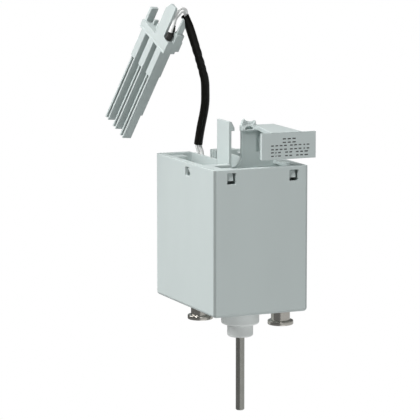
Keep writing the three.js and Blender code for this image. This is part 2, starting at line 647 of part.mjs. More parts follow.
function plugBody() {
  const tab = frontProfile(
    [[-7.4, -3.4], [-2.4, -3.4], [-2.4, 9.6], [-2.9, 10.15], [-5.67, 10.1], [-7.4, 7.4]], 0, 1);
  const fin = sideProfile([[2.4, 1.6], [4.8, 1.6], [4.8, 4.4], [3, 7.8], [2.4, 8.1]], -0.1, 0.7);
  const parts = [
    tab, fin,
    block(-16.2, 0.9, 0, 4.8, -6.2, -3.2),
    block(-2.6, 0.9, 0, 6.2, -5.2, -1.3),
    block(-1.5, 1.6, 2, 5.2, -1.5, 1.8),
    block(-16.1, -14.9, 0.9, 3.9, -3.4, 2),
    block(-13.5, -12.7, 2.5, 4.3, -3.4, -1.5),
    block(-11, -10.2, 2.5, 4.3, -3.4, -1.5),
    ...[0, 1, 2].map(plugLeg),
  ];
  const bootRoom = rod(BOOT.r + GAP, BOOT.low - GAP, 3, ...BOOT.at, 20);
  const groove = block(-17, 0.6, -1, 0.2, -5.6, -5.3);
  return cut(join(...parts), bootRoom, solid(leaningBoot(LEANING_BOOT.r + GAP)), groove);
}

function plug() {
  const group = new THREE.Group();
  const row = new THREE.Vector3(...PLUG_ROW).normalize();
  const depth = new THREE.Vector3(...PLUG_UP).cross(row).normalize();
  const up = row.clone().cross(depth);
  group.quaternion.setFromRotationMatrix(new THREE.Matrix4().makeBasis(row, depth, up));
  group.position.set(...PLUG_PLACE);
  group.add(piece('plug_body', plugBody(), GREY_PLASTIC));
  for (const index of [0, 1, 2]) {
    const middle = LEG.first + index * LEG.pitch - LEG.slim / 2;
    const blade = block(middle - 0.15, middle + 0.15, 0.5, LEG.slotDeep - GAP, LEG.tip + 1, LEG.step - GAP);
    group.add(piece(`plug_contact_${index + 1}`, blade, NICKEL));
  }
  group.add(
    piece('wire_boot_1', rod(BOOT.r, BOOT.low, BOOT.high, ...BOOT.at, 20), RUBBER),
    piece('wire_boot_2', leaningBoot(LEANING_BOOT.r), RUBBER),
  );
  return group;
}

// ---------------------------------------------------------------- assembly

const release = new THREE.Group();
release.add(
  piece('housing', housing(), GREY_PLASTIC),
  piece('top_cover', topCover(), GREY_PLASTIC),
  piece('latch_arm', latchArm(), GREY_PLASTIC),
  piece('lead_clamp', leadClamp(), GREY_PLASTIC),
  magnet(), studs(), circuitBoard(), lead(), plug(),
);

export default release;
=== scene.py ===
"""Looks of a plug-in undervoltage release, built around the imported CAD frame.

Shapes are modelled in millimetres in the frame's own axes and scaled to metres when they become pieces.
"""
import math

import bmesh
import bpy
from mathutils import Matrix, Vector, noise


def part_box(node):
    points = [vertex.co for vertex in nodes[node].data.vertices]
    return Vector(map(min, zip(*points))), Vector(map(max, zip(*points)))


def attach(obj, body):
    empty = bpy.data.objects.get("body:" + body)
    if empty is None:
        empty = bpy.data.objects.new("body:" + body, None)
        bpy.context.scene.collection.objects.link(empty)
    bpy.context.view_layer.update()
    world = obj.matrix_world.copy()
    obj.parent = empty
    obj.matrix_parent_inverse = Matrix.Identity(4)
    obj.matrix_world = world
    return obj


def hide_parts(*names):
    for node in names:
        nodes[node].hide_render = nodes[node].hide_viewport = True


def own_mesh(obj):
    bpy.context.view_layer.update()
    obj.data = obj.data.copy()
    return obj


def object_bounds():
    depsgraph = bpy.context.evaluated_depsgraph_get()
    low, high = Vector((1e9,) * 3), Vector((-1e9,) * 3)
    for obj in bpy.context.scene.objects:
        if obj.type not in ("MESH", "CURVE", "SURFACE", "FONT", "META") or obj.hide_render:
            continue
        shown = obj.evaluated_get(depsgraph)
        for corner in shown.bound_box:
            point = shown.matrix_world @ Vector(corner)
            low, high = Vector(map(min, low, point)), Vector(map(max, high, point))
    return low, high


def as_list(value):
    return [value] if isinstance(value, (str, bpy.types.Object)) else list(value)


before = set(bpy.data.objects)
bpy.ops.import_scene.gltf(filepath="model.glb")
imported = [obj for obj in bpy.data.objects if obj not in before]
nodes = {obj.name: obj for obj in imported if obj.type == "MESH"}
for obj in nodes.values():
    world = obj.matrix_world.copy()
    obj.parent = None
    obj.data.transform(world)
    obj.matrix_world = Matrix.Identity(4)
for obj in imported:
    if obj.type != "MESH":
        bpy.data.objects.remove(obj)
scene = bpy.context.scene
cad_low, cad_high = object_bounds()
MM = 0.001


def node_box(name):
    """The node's lowest and highest corners, in millimetres to a thousandth."""
    return [[round(v / MM, 3) for v in corner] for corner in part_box(name)]


def node_axis(name):
    """Where the node's upright axis stands, in millimetres."""
    low, high = node_box(name)
    return (low[0] + high[0]) / 2, (low[1] + high[1]) / 2


# ---------------------------------------------------------------- camera

# The camera's turn is about the upright axis, and its rise is above the level.
CAMERA_PLACE = Vector((-0.36284, -0.81068, 0.16729))
CAMERA_TURN = math.radians(-113.65)
CAMERA_RISE = math.radians(8.641)
CAMERA_RIGHT = Vector((-math.sin(CAMERA_TURN), math.cos(CAMERA_TURN), 0))
CAMERA_BACK = Vector((
    math.cos(CAMERA_RISE) * math.cos(CAMERA_TURN),
    math.cos(CAMERA_RISE) * math.sin(CAMERA_TURN),
    math.sin(CAMERA_RISE),
))


def make_camera():
    data = bpy.data.cameras.new("camera")
    data.sensor_width = 36
    data.lens = 223.66
    data.clip_start = 0.05
    data.clip_end = 20
    camera = bpy.data.objects.new("camera", data)
    up = CAMERA_BACK.cross(CAMERA_RIGHT)
    camera.matrix_world = Matrix.Translation(CAMERA_PLACE) @ Matrix(
        (CAMERA_RIGHT, up, CAMERA_BACK)).transposed().to_4x4()
    scene.collection.objects.link(camera)
    scene.camera = camera


# ---------------------------------------------------------------- light

WORLD_BELOW = 1.7
WORLD_ABOVE = 0.45
WORLD_LEFT = 0.12
WORLD_RIGHT = 0.37
# Each area light's place in metres, its side and its power in watts.
LIGHTS = {
    "key_left": ((-1.0, -0.47, 0.86), 0.5, 12),
    "back_left": ((-1.05, 0.62, 0.5), 0.9, 7.5),
    "top": ((-0.3, 0.15, 1.25), 1.0, 11),
    "low_fill": ((-0.42, -1.25, 0.14), 0.4, 0.8),
    "bounce": ((0.0, -0.8, -0.9), 0.9, 2.1),
}
LIGHTS_AIM = Vector((0, 0, 0.03))


def make_lights():
    scene.view_settings.view_transform = "Standard"
    scene.view_settings.look = "None"
    for name, (spot, side, watts) in LIGHTS.items():
        data = bpy.data.lights.new(name, "AREA")
        data.shape = "RECTANGLE"
        data.size = data.size_y = side
        data.energy = watts
        light = bpy.data.objects.new(name, data)
        light.location = spot
        light.rotation_mode = "QUATERNION"
        light.rotation_quaternion = (LIGHTS_AIM - Vector(spot)).to_track_quat("-Z", "Y")
        scene.collection.objects.link(light)


def make_world():
    """Soft surroundings: dim to the camera's left, light to its right, and lighter below than above."""
    world = bpy.data.worlds.new("studio")
    scene.world = world
    world.use_nodes = True
    tree = world.node_tree
    tree.nodes.clear()
    where = tree.nodes.new("ShaderNodeTexCoord")

    def ramp_along(direction, low, high, dark, bright):
        """A grey that runs from dark to bright as the view direction turns towards the given one."""
        side = tree.nodes.new("ShaderNodeVectorMath")
        side.operation = "DOT_PRODUCT"
        side.inputs[1].default_value = direction
        share = tree.nodes.new("ShaderNodeMapRange")
        share.inputs["From Min"].default_value = low
        share.inputs["From Max"].default_value = high
        share.inputs["To Min"].default_value = dark
        share.inputs["To Max"].default_value = bright
        tree.links.new(where.outputs["Generated"], side.inputs[0])
        tree.links.new(side.outputs["Value"], share.inputs["Value"])
        return share.outputs["Result"]

    product = tree.nodes.new("ShaderNodeMath")
    product.operation = "MULTIPLY"
    tree.links.new(ramp_along(CAMERA_RIGHT, -0.15, 0.15, WORLD_LEFT, WORLD_RIGHT), product.inputs[0])
    tree.links.new(ramp_along((0, 0, 1), -0.25, 0.15, WORLD_BELOW, WORLD_ABOVE), product.inputs[1])
    surface = tree.nodes.new("ShaderNodeBackground")
    surface.inputs["Color"].default_value = (0.98, 1.0, 1.0, 1)
    out = tree.nodes.new("ShaderNodeOutputWorld")
    tree.links.new(product.outputs["Value"], surface.inputs["Strength"])
    tree.links.new(surface.outputs["Background"], out.inputs["Surface"])


def make_stage():
    """A plain white floor just under the object."""
    gap = 0.004
    bm = bmesh.new()
    bmesh.ops.create_grid(bm, x_segments=8, y_segments=8, size=14)
    mesh = bpy.data.meshes.new("floor")
    bm.to_mesh(mesh)
    bm.free()
    floor = bpy.data.objects.new("floor", mesh)
    floor.location.z = cad_low.z - gap
    scene.collection.objects.link(floor)
    mat = bpy.data.materials.new("pale_floor")
    mat.use_nodes = True
    tree = mat.node_tree
    tree.nodes.clear()
    glow = tree.nodes.new("ShaderNodeEmission")
    glow.inputs["Color"].default_value = (1, 1, 1, 1)
    glow.inputs["Strength"].default_value = 1.0
    out = tree.nodes.new("ShaderNodeOutputMaterial")
    tree.links.new(glow.outputs["Emission"], out.inputs["Surface"])
    mesh.materials.append(mat)
    floor.visible_glossy = False
    floor.visible_diffuse = False
    floor.visible_shadow = False


make_camera()
make_world()
make_stage()
make_lights()

# ---------------------------------------------------------------- material helpers


class Shader:
    """A node material with a Principled shader, built up by small steps."""

    def __init__(self, name, colour, roughness, metallic=0.0, **fixed):
        self.mat = bpy.data.materials.new(name)
        self.mat.use_nodes = True
        self.tree = self.mat.node_tree
        self.surface = self.tree.nodes["Principled BSDF"]
        self.colour = colour
        self.surface.inputs["Base Color"].default_value = (*colour, 1)
        self.surface.inputs["Roughness"].default_value = roughness
        self.surface.inputs["Metallic"].default_value = metallic
        for socket, value in fixed.items():
            self.surface.inputs[socket.replace("_", " ")].default_value = value
        self.place = self.node("ShaderNodeTexCoord").outputs["Object"]

    def node(self, kind, **settings):
        made = self.tree.nodes.new(kind)
        for key, value in settings.items():
            setattr(made, key, value)
        return made

    def link(self, source, target):
        self.tree.links.new(source, target)

    def noise(self, per_metre, detail, scale=(1, 1, 1)):
        mapping = self.node("ShaderNodeMapping")
        mapping.inputs["Scale"].default_value = scale
        self.link(self.place, mapping.inputs["Vector"])
        made = self.node("ShaderNodeTexNoise")
        made.inputs["Scale"].default_value = per_metre
        made.inputs["Detail"].default_value = detail
        self.link(mapping.outputs["Vector"], made.inputs["Vector"])
        return made.outputs["Fac"]

    def ranged(self, value, low, high, from_low=0.3, from_high=0.7):
        made = self.node("ShaderNodeMapRange")
        made.inputs["From Min"].default_value = from_low
        made.inputs["From Max"].default_value = from_high
        made.inputs["To Min"].default_value = low
        made.inputs["To Max"].default_value = high
        self.link(value, made.inputs["Value"])
        return made.outputs["Result"]

    def tint(self, value, other, from_low=0.3, from_high=0.7, share=1.0):
        """Mixes another colour in where value is high."""
        mix = self.node("ShaderNodeMix", data_type="RGBA")
        socket = self.surface.inputs["Base Color"]
        if socket.is_linked:
            self.link(socket.links[0].from_socket, mix.inputs["A"])
        else:
            mix.inputs["A"].default_value = (*self.colour, 1)
        mix.inputs["B"].default_value = (*other, 1)
        self.link(self.ranged(value, 0, share, from_low, from_high), mix.inputs["Factor"])
        self.link(mix.outputs["Result"], socket)
        return self

    def roughness(self, value, low, high):
        self.link(self.ranged(value, low, high), self.surface.inputs["Roughness"])

    def bump(self, value, height_mm, strength):
        """Adds relief of that height on top of the relief so far."""
        made = self.node("ShaderNodeBump")
        made.inputs["Distance"].default_value = height_mm * MM
        made.inputs["Strength"].default_value = strength
        self.link(value, made.inputs["Height"])
        socket = self.surface.inputs["Normal"]
        if socket.is_linked:
            self.link(socket.links[0].from_socket, made.inputs["Normal"])
        self.link(made.outputs["Normal"], socket)


def darker(colour, by):
    return tuple(c * by for c in colour)


# ---------------------------------------------------------------- materials

PALE_GREY = (0.60, 0.665, 0.655)
# The boss's paler grey is painted light: it stands in for light from below that the box's overhang keeps
# off the boss.
BOSS_PAINTED_LIGHT_GREY = (0.95, 0.98, 0.965)


def moulded_shader(name, colour, roughness=0.42, shine=0.4):
    """Fine spark-eroded grain, faint flow mottling, and a soft polish that varies."""
    made = Shader(name, colour, roughness, Specular_IOR_Level=shine)
    flow = made.noise(55, 2, scale=(1, 1, 0.5))
    grain = made.noise(7000, 2)
    made.tint(flow, darker(colour, 0.955)).tint(grain, darker(colour, 1.025), share=0.6)
    made.roughness(flow, roughness - 0.05, roughness + 0.07)
    made.bump(grain, 0.006, 0.5)
    return made


def moulded_plastic(*settings):
    return moulded_shader(*settings).mat


def box_plastic():
    """The box's own plastic, with painted shade on its rounded upright corners and painted light that
    makes the boss below it paler.
    """
    made = moulded_shader("box_plastic", PALE_GREY)
    facing = made.node("ShaderNodeSeparateXYZ")
    made.link(made.node("ShaderNodeNewGeometry").outputs["Normal"], facing.inputs["Vector"])
    # Painted shade: where the normal leans towards both x and y, the rounded upright corners are darkened.
    painted_corner_shade = made.node("ShaderNodeMath", operation="MULTIPLY")
    made.link(facing.outputs["X"], painted_corner_shade.inputs[0])
    made.link(facing.outputs["Y"], painted_corner_shade.inputs[1])
    made.tint(painted_corner_shade.outputs["Value"], darker(PALE_GREY, 0.52), 0.15, 0.45)
    # Painted light: below the box's bottom the plastic turns to the paler boss grey.
    height_for_painted_light = made.node("ShaderNodeSeparateXYZ")
    made.link(made.place, height_for_painted_light.inputs["Vector"])
    made.tint(height_for_painted_light.outputs["Z"], BOSS_PAINTED_LIGHT_GREY, -0.1 * MM, -0.3 * MM)
    return made.mat


def ground_metal(name, colour, roughness, along=(1, 1, 0.02), scratch=0.0015, per_metre=9000):
    """Metal with fine scratches of a height in millimetres, drawn out along one axis."""
    made = Shader(name, colour, roughness, 1.0)
    lines = made.noise(per_metre, 3, scale=along)
    haze = made.noise(240, 3)
    made.tint(haze, darker(colour, 0.86)).tint(lines, darker(colour, 0.9), share=0.7)
    made.roughness(lines, roughness - 0.06, roughness + 0.1)
    made.bump(lines, scratch, 0.6)
    return made.mat


def build_materials():
    """The record's material slots by name, then the looks that a few pieces have instead."""
    made = {}
    made["grey_plastic"] = moulded_plastic("grey_plastic", PALE_GREY)
    made["ground_steel"] = ground_metal("ground_steel", (0.47, 0.465, 0.43), 0.26)
    made["spring_steel"] = ground_metal("spring_steel", (0.42, 0.42, 0.41), 0.3, (1, 1, 1))
    made["nickel"] = ground_metal("nickel", (0.66, 0.63, 0.58), 0.14, (1, 1, 6), 0.0008, 3000)
    made["tinned_contact"] = ground_metal("tinned_contact", (0.7, 0.69, 0.66), 0.3)
    made["zinc_plate"] = ground_metal("zinc_plate", (0.55, 0.57, 0.58), 0.33, (1, 1, 1), 0.001, 2500)
    made["brass_tube"] = ground_metal("brass_tube", (0.62, 0.44, 0.17), 0.25)
    made["dark_nylon"] = moulded_plastic("dark_nylon", (0.035, 0.036, 0.04), 0.5)
    made["black_rubber"] = moulded_plastic("black_rubber", (0.022, 0.021, 0.019), 0.55)
    made["black_epoxy"] = moulded_plastic("black_epoxy", (0.03, 0.03, 0.032), 0.4)
    made["blue_epoxy"] = moulded_plastic("blue_epoxy", (0.04, 0.16, 0.42), 0.35)
    made["tan_ceramic"] = moulded_plastic("tan_ceramic", (0.55, 0.42, 0.27), 0.5)
    made["terminal_green"] = moulded_plastic("terminal_green", (0.03, 0.22, 0.09), 0.42)
    made["amber_tape"] = moulded_plastic("amber_tape", (0.68, 0.42, 0.05), 0.3)
    made["board_green"] = moulded_plastic("board_green", (0.02, 0.11, 0.05), 0.35)
    made["enamelled_copper"] = ground_metal(
        "enamelled_copper", (0.46, 0.16, 0.06), 0.3, (1, 1, 40), 0.004, 1500)
    made["black_sleeve"] = moulded_plastic("black_sleeve", (0.004, 0.0034, 0.002), 0.36, 0.24)
    made["white_wire"] = moulded_plastic("white_wire", (0.93, 0.93, 0.92), 0.3)
    made["box_plastic"] = box_plastic()
    made["plug_plastic"] = moulded_plastic("plug_plastic", darker(PALE_GREY, 0.92))
    # The bush's paler grey is painted light from below, like the boss's.
    made["bush_plastic"] = moulded_plastic("bush_plastic", darker(BOSS_PAINTED_LIGHT_GREY, 0.92))
    made["label_ink"] = moulded_plastic("label_ink", (0.11, 0.115, 0.115), 0.6)
    return made


materials = build_materials()


def dress_nodes():
    """Gives every CAD node its slot's material; an imported name may end in a dot and a number."""
    for node in nodes.values():
        slot = node.data.materials[0].name.split(".")[0]
        for held in node.material_slots:
            held.link = "OBJECT"
            held.material = materials[slot]


dress_nodes()

# ---------------------------------------------------------------- solids, in millimetres


def stored(bm):
    mesh = bpy.data.meshes.new("work")
    bm.to_mesh(mesh)
    bm.free()
    return mesh


def evaluated(mesh, dress):
    """The mesh after the modifiers that dress() puts on it."""
    work = bpy.data.objects.new("work", mesh)
    scene.collection.objects.link(work)
    helpers = dress(work) or []
    graph = bpy.context.evaluated_depsgraph_get()
    result = bpy.data.meshes.new_from_object(work.evaluated_get(graph))
    for made in [work, *helpers]:
        bpy.data.objects.remove(made)
    return result


def combined(mesh, operation, tools):
    def dress(work):
        helpers = []
        for tool in tools:
            helper = bpy.data.objects.new("tool", tool)
            scene.collection.objects.link(helper)
            helpers.append(helper)
            step = work.modifiers.new("step", "BOOLEAN")
            step.operation = operation
            step.solver = "EXACT"
            step.object = helper
        return helpers
    return evaluated(mesh, dress)


def cut(mesh, *tools):
    return combined(mesh, "DIFFERENCE", tools)


def join(mesh, *tools):
    return combined(mesh, "UNION", tools)


def block(x, y, z, rounded=0.0, along=None):
    """A box between pairs of coordinates; the edges along one axis may be rounded."""
    bm = bmesh.new()
    bmesh.ops.create_cube(bm, size=1)
    size = [high - low for low, high in (x, y, z)]
    middle = [(high + low) / 2 for low, high in (x, y, z)]
    bmesh.ops.scale(bm, vec=size, verts=bm.verts)
    bmesh.ops.translate(bm, vec=middle, verts=bm.verts)
    if rounded:
        def runs_along(edge):
            run = edge.verts[1].co - edge.verts[0].co
            return abs(run["xyz".index(along)]) > 0.9 * run.length
        edges = [edge for edge in bm.edges if runs_along(edge)]
        bmesh.ops.bevel(bm, geom=edges, offset=rounded, segments=6, profile=0.5, affect="EDGES")
    return stored(bm)


def turned(profile, at=(0, 0), sides=96):
    """A solid of revolution about a line along z; the profile's radii and heights run anticlockwise."""
    bm = bmesh.new()
    rings = []
    for r, z in profile:
        if r == 0:
            rings.append([bm.verts.new((at[0], at[1], z))])
            continue
        rings.append([bm.verts.new((at[0] + r * math.cos(a), at[1] + r * math.sin(a), z))
                      for a in (2 * math.pi * i / sides for i in range(sides))])
    closed = profile[0][0] > 0
    pairs = list(zip(rings, rings[1:])) + ([(rings[-1], rings[0])] if closed else [])
    for low, high in pairs:
        for i in range(sides):
            j = (i + 1) % sides
            corners = [low[i % len(low)], low[j % len(low)], high[j % len(high)], high[i % len(high)]]
            unique = list(dict.fromkeys(corners))
            if len(unique) > 2:
                bm.faces.new(unique)
    bmesh.ops.recalc_face_normals(bm, faces=bm.faces)
    return stored(bm)


def rounded_corner(r, z, radius, turn_from, turn_to, steps=5):
    """Profile points round a corner whose centre is at (r, z); angles in degrees."""
    angles = [math.radians(turn_from + (turn_to - turn_from) * i / steps) for i in range(steps + 1)]
    return [(r + radius * math.cos(a), z + radius * math.sin(a)) for a in angles]


def cad_solid(name):
    """The CAD node's own shape as clean faces, in millimetres."""
    bm = bmesh.new()
    bm.from_mesh(nodes[name].data)
    bmesh.ops.transform(bm, matrix=Matrix.Scale(1 / MM, 4) @ nodes[name].matrix_world, verts=bm.verts)
    bmesh.ops.remove_doubles(bm, verts=bm.verts, dist=0.003)
    bmesh.ops.dissolve_limit(bm, angle_limit=math.radians(0.8), verts=bm.verts, edges=bm.edges)
    mesh = stored(bm)
    mesh.materials.clear()
    return mesh


def softened(mesh, width):
    """Small rounds on every edge that turns by more than 28 degrees."""
    def dress(work):
        step = work.modifiers.new("rounds", "BEVEL")
        step.width = width
        step.segments = 3
        step.limit_method = "ANGLE"
        step.angle_limit = math.radians(28)
        step.use_clamp_overlap = False
        step.miter_outer = "MITER_ARC"
    return evaluated(mesh, dress)


def place(name, mesh, slot, body="body", stands_for=(), sharp=50, look=None):
    """Turns a solid in millimetres into a piece of the scene; its look is its slot's unless named."""
    mesh.transform(Matrix.Scale(MM, 4))
    mesh.shade_smooth()
    mesh.set_sharp_from_angle(angle=math.radians(sharp))

    def dress(work):
        step = work.modifiers.new("normals", "WEIGHTED_NORMAL")
        step.keep_sharp = True
    mesh = evaluated(mesh, dress)
    mesh.name = name
    mesh.materials.clear()
    mesh.materials.append(materials[look or slot])
    made = bpy.data.objects.new(name, mesh)
    scene.collection.objects.link(made)
    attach(made, body)
    if stands_for:
        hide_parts(*stands_for)
    return made


# ---------------------------------------------------------------- lead and plug, first: they fix the cords

WIRE_R = 0.55
HALF_GAP = 0.6
# The wires' and the sleeve's routes, point by point, as in the CAD source.
WIRE_A_LOW = [(-3.2, 20.5, 33.5), (-3.2, 20.5, 46), (-3.2, 20.6, 50), (-3.8, 20.7, 52.6)]
WIRE_B_LOW = [(-1.9, 20.3, 33.5), (-1.9, 20.3, 46), (-1.9, 20.3, 50), (-2.5, 20.6, 52.6)]
SLEEVE_ROUTE = [
    (-3.2, 20.8, 52.9), (-3, 20.5, 55.2), (-2.6, 19.7, 59.3), (-2.2, 18.6, 63.4), (-2.1, 17.3, 67.6),
    (-2.5, 16.2, 71.7), (-3.2, 15, 75.8), (-4.6, 14.2, 80), (-7.4, 12.9, 87.3), (-10.1, 12.3, 94.6),
    (-11.75, 12.54, 98.9),
]
WIRE_A_HIGH = [
    (-11.4, 12.1, 99.35), (-11.5, 11.9, 100.15), (-12.1, 11.6, 100.9), (-13.1, 11.2, 101.3),
    (-14.3, 10.7, 101.1), (-15.2, 10.3, 100.4), (-16.1, 9.9, 99.4), (-16.6, 9.55, 98.1),
    (-17.15, 9.4, 96.7), (-17.75, 9.45, 95.2), (-18.18, 9.76, 93.38),
]
WIRE_B_HIGH = [
    (-11.3, 13.3, 99.35), (-11.6, 13.3, 100), (-12.3, 13.1, 100.25), (-13.1, 12.8, 99.9),
    (-13.9, 12.5, 99.2), (-14.9, 11.9, 98.5), (-15.8, 11.2, 97.7), (-16.25, 10.85, 96.9),
    (-16.39, 10.8, 95.9),
]


def in_sleeve(side):
    """The wires lie side by side in the sleeve and turn a quarter round each other on the way up."""
    inner = SLEEVE_ROUTE[1:-1]
    points = []
    for i, point in enumerate(inner):
        angle = math.pi * (1 + 0.5 * i / (len(inner) - 1))
        aside = Vector((math.cos(angle), math.sin(angle), 0)) * HALF_GAP * side
        points.append(tuple(Vector(point) + aside))
    return points


def wire(name, low, side, high, stands_for):
    """A round insulated wire from the board's terminal to its boot on the plug."""
    points = [*low, *in_sleeve(side), *high]
    data = bpy.data.curves.new(name, "CURVE")
    data.dimensions = "3D"
    data.resolution_u = 10
    data.bevel_depth = WIRE_R * MM
    data.bevel_resolution = 6
    data.use_fill_caps = True
    line = data.splines.new("BEZIER")
    line.bezier_points.add(len(points) - 1)
    for knot, point in zip(line.bezier_points, points):
        knot.co = Vector(point) * MM
        knot.handle_left_type = knot.handle_right_type = "AUTO"
    data.materials.append(materials["white_wire"])
    made = bpy.data.objects.new(name, data)
    scene.collection.objects.link(made)
    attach(made, "body")
    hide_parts(*stands_for)
    return made, points


def smooth_route(points, count):
    """Evenly spaced points on a curve through the given ones, by Catmull and Rom's centripetal rule."""
    knots = [Vector(p) for p in points]
    knots = [2 * knots[0] - knots[1], *knots, 2 * knots[-1] - knots[-2]]
    fine = []
    steps = 16
    for p0, p1, p2, p3 in zip(knots, knots[1:], knots[2:], knots[3:]):
        t0 = 0.0
        t1 = t0 + (p1 - p0).length ** 0.5
        t2 = t1 + (p2 - p1).length ** 0.5
        t3 = t2 + (p3 - p2).length ** 0.5
        for i in range(steps):
            t = t1 + (t2 - t1) * i / steps
            a1 = p0.lerp(p1, (t - t0) / (t1 - t0))
            a2 = p1.lerp(p2, (t - t1) / (t2 - t1))
            a3 = p2.lerp(p3, (t - t2) / (t3 - t2))
            b1 = a1.lerp(a2, (t - t0) / (t2 - t0))
            b2 = a2.lerp(a3, (t - t1) / (t3 - t1))
            fine.append(b1.lerp(b2, (t - t1) / (t2 - t1)))
    fine.append(knots[-2])
    walked = [0.0]
    for a, b in zip(fine, fine[1:]):
        walked.append(walked[-1] + (b - a).length)
    even = []
    j = 0
    for i in range(count):
        want = walked[-1] * i / (count - 1)
        while j < len(fine) - 2 and walked[j + 1] < want:
            j += 1
        share = (want - walked[j]) / (walked[j + 1] - walked[j])
        even.append(fine[j].lerp(fine[j + 1], min(max(share, 0), 1)))
    return even


def carried_frames(path):
    """At each point of a path, two directions square to it that turn as little as possible."""
    frames = []
    side = Vector((1, 0, 0))
    for i, point in enumerate(path):
        ahead = (path[min(i + 1, len(path) - 1)] - path[max(i - 1, 0)]).normalized()
        side = (side - ahead * side.dot(ahead)).normalized()
        frames.append((point, side.copy(), ahead.cross(side)))
    return frames


SLEEVE_R = 1.5
SLEEVE_WALL = 0.22
SLEEVE_RINGS = 260
# Each crease round the sleeve: its height, how deep and how wide it is.
CREASES = (
    (76.2, 0.6, 0.9), (79.3, 0.9, 0.7), (81.6, 0.7, 0.6),
    (84.4, 1.0, 0.8), (87.6, 0.8, 0.7), (90.3, 0.5, 0.9),
)


def sleeve_radius(height, angle):
    """The sleeve's outside: slack folds a third of the way below its top, and a slightly narrower end."""
    r = SLEEVE_R
    narrow_from, narrow_over, narrowing = 95, 3.5, 0.17
    if height > narrow_from:
        r -= narrowing * min((height - narrow_from) / narrow_over, 1)
    folded_at, folded_over, fold_depth = 83, 6.5, 0.2
    folds = fold_depth * math.exp(-((height - folded_at) / folded_over) ** 2)
    tilt = 0.9 * math.cos(angle - 0.8)
    crease = 0
    for at, depth, width in CREASES:
        crease += depth * math.exp(-((height + tilt - at) / width) ** 2)
    waver_depth = 0.05
    waver = noise.noise(Vector((math.cos(angle) * 1.2, math.sin(angle) * 1.2, height * 0.22)))
    return r - crease * folds - waver_depth * max(waver, 0)


def sleeve_mesh():
    """A tube with its last few rings cut at a slant."""
    sides = 40
    slanted, slant = 8, 0.55
    path = smooth_route(SLEEVE_ROUTE, SLEEVE_RINGS)
    bm = bmesh.new()
    loops = {"out": [], "in": []}
    frames = carried_frames(path)
    for i, (point, side, other) in enumerate(frames):
        for key in loops:
            loop = []
            for k in range(sides):
                angle = 2 * math.pi * k / sides
                r = sleeve_radius(point.z, angle)
                if key == "in":
                    r -= SLEEVE_WALL
                spot = point + side * (r * math.cos(angle)) + other * (r * math.sin(angle))
                if i > SLEEVE_RINGS - slanted:
                    lean = (i - SLEEVE_RINGS + slanted) / (slanted - 1)
                    spot.z -= slant * lean * min(math.cos(angle - 0.4), 0) ** 2
                loop.append(bm.verts.new(spot))
            loops[key].append(loop)
    for key, flip in (("out", False), ("in", True)):
        for low, high in zip(loops[key], loops[key][1:]):
            for k in range(sides):
                j = (k + 1) % sides
                corners = (low[k], low[j], high[j], high[k])
                bm.faces.new(corners[::-1] if flip else corners)
    for end, flip in ((0, True), (-1, False)):
        outer, inner = loops["out"][end], loops["in"][end]
        for k in range(sides):
            j = (k + 1) % sides
            corners = (outer[k], outer[j], inner[j], inner[k])
            bm.faces.new(corners[::-1] if flip else corners)
    bmesh.ops.recalc_face_normals(bm, faces=bm.faces)
    return stored(bm)


def boot_mesh(r, low, high, bore):
    """A boot with rounded ends, a collar and a hole for its wire."""
    soft = 0.18
    edge = 0.1
    collar_low = high - 0.8
    collar = r - edge
    hole_end = high - 0.5
    return turned([
        (0, low), (r - soft, low), *rounded_corner(r - soft, low + soft, soft, -90, 0),
        (r, collar_low - edge), (collar, collar_low), (collar, high - soft),
        *rounded_corner(collar - soft, high - soft, soft, 0, 90),
        (bore, high), (bore, hole_end), (0, hole_end),
    ], sides=48)


# The plug's own frame: x runs along its row of legs, y away from its face, z up its legs.
PLUG_PLACE = Vector((-19.1, 9.7, 91.7))
PLUG_ROW = Vector((0.161, -0.848, -0.505)).normalized()
PLUG_UP = Vector((0.198, -0.473, 0.858))
PLUG_BACK = PLUG_UP.cross(PLUG_ROW).normalized()
PLUG_FRAME = Matrix.Translation(PLUG_PLACE) @ Matrix(
    (PLUG_ROW, PLUG_BACK, PLUG_ROW.cross(PLUG_BACK))).transposed().to_4x4()
# The boots in that frame: the upright one's place, and the leaning one's two ends.
UPRIGHT_BOOT = (-0.75, 0.75, 0)
LEANING_BOOT = (Vector((-1.07, 2.5, -0.25)), Vector((-2.53, 2.5, 3.34)))


def make_lead():
    wire_a, points_a = wire("wire_a", WIRE_A_LOW, 1, WIRE_A_HIGH, ("lead_wire_a", "plug_wire_a"))
    wire_b, points_b = wire("wire_b", WIRE_B_LOW, -1, WIRE_B_HIGH, ("lead_wire_b", "plug_wire_b"))
    sleeve = place("sleeve", sleeve_mesh(), "black_sleeve", stands_for=("lead_sleeve",), sharp=60)
    plug = place("plug", softened(cad_solid("plug_body"), 0.12), "grey_plastic", stands_for=("plug_body",),
                 look="plug_plastic")
    upright = boot_mesh(r=1.1, low=-1.2, high=1.3, bore=0.62)
    upright.transform(PLUG_FRAME @ Matrix.Translation(UPRIGHT_BOOT))
    boot_1 = place("boot_1", upright, "black_rubber", stands_for=("wire_boot_1",))
    low, high = LEANING_BOOT
    leaning = boot_mesh(r=0.6, low=0, high=(high - low).length, bore=0.57)
    turn = (high - low).to_track_quat("Z", "Y").to_matrix().to_4x4()
    leaning.transform(PLUG_FRAME @ Matrix.Translation(low) @ turn)
    boot_2 = place("boot_2", leaning, "black_rubber", stands_for=("wire_boot_2",))
    contacts = [nodes[f"plug_contact_{i}"] for i in (1, 2, 3)]
    for made, points, extras in (
        (wire_a, points_a, (sleeve, plug, boot_1, *contacts)),
        (wire_b, points_b, (boot_2,)),
    ):
        chords = sum((Vector(b) - Vector(a)).length for a, b in zip(points, points[1:]))
        exit_point = tuple(v * MM for v in points[0])
        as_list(extras)


make_lead()

# ---------------------------------------------------------------- housing

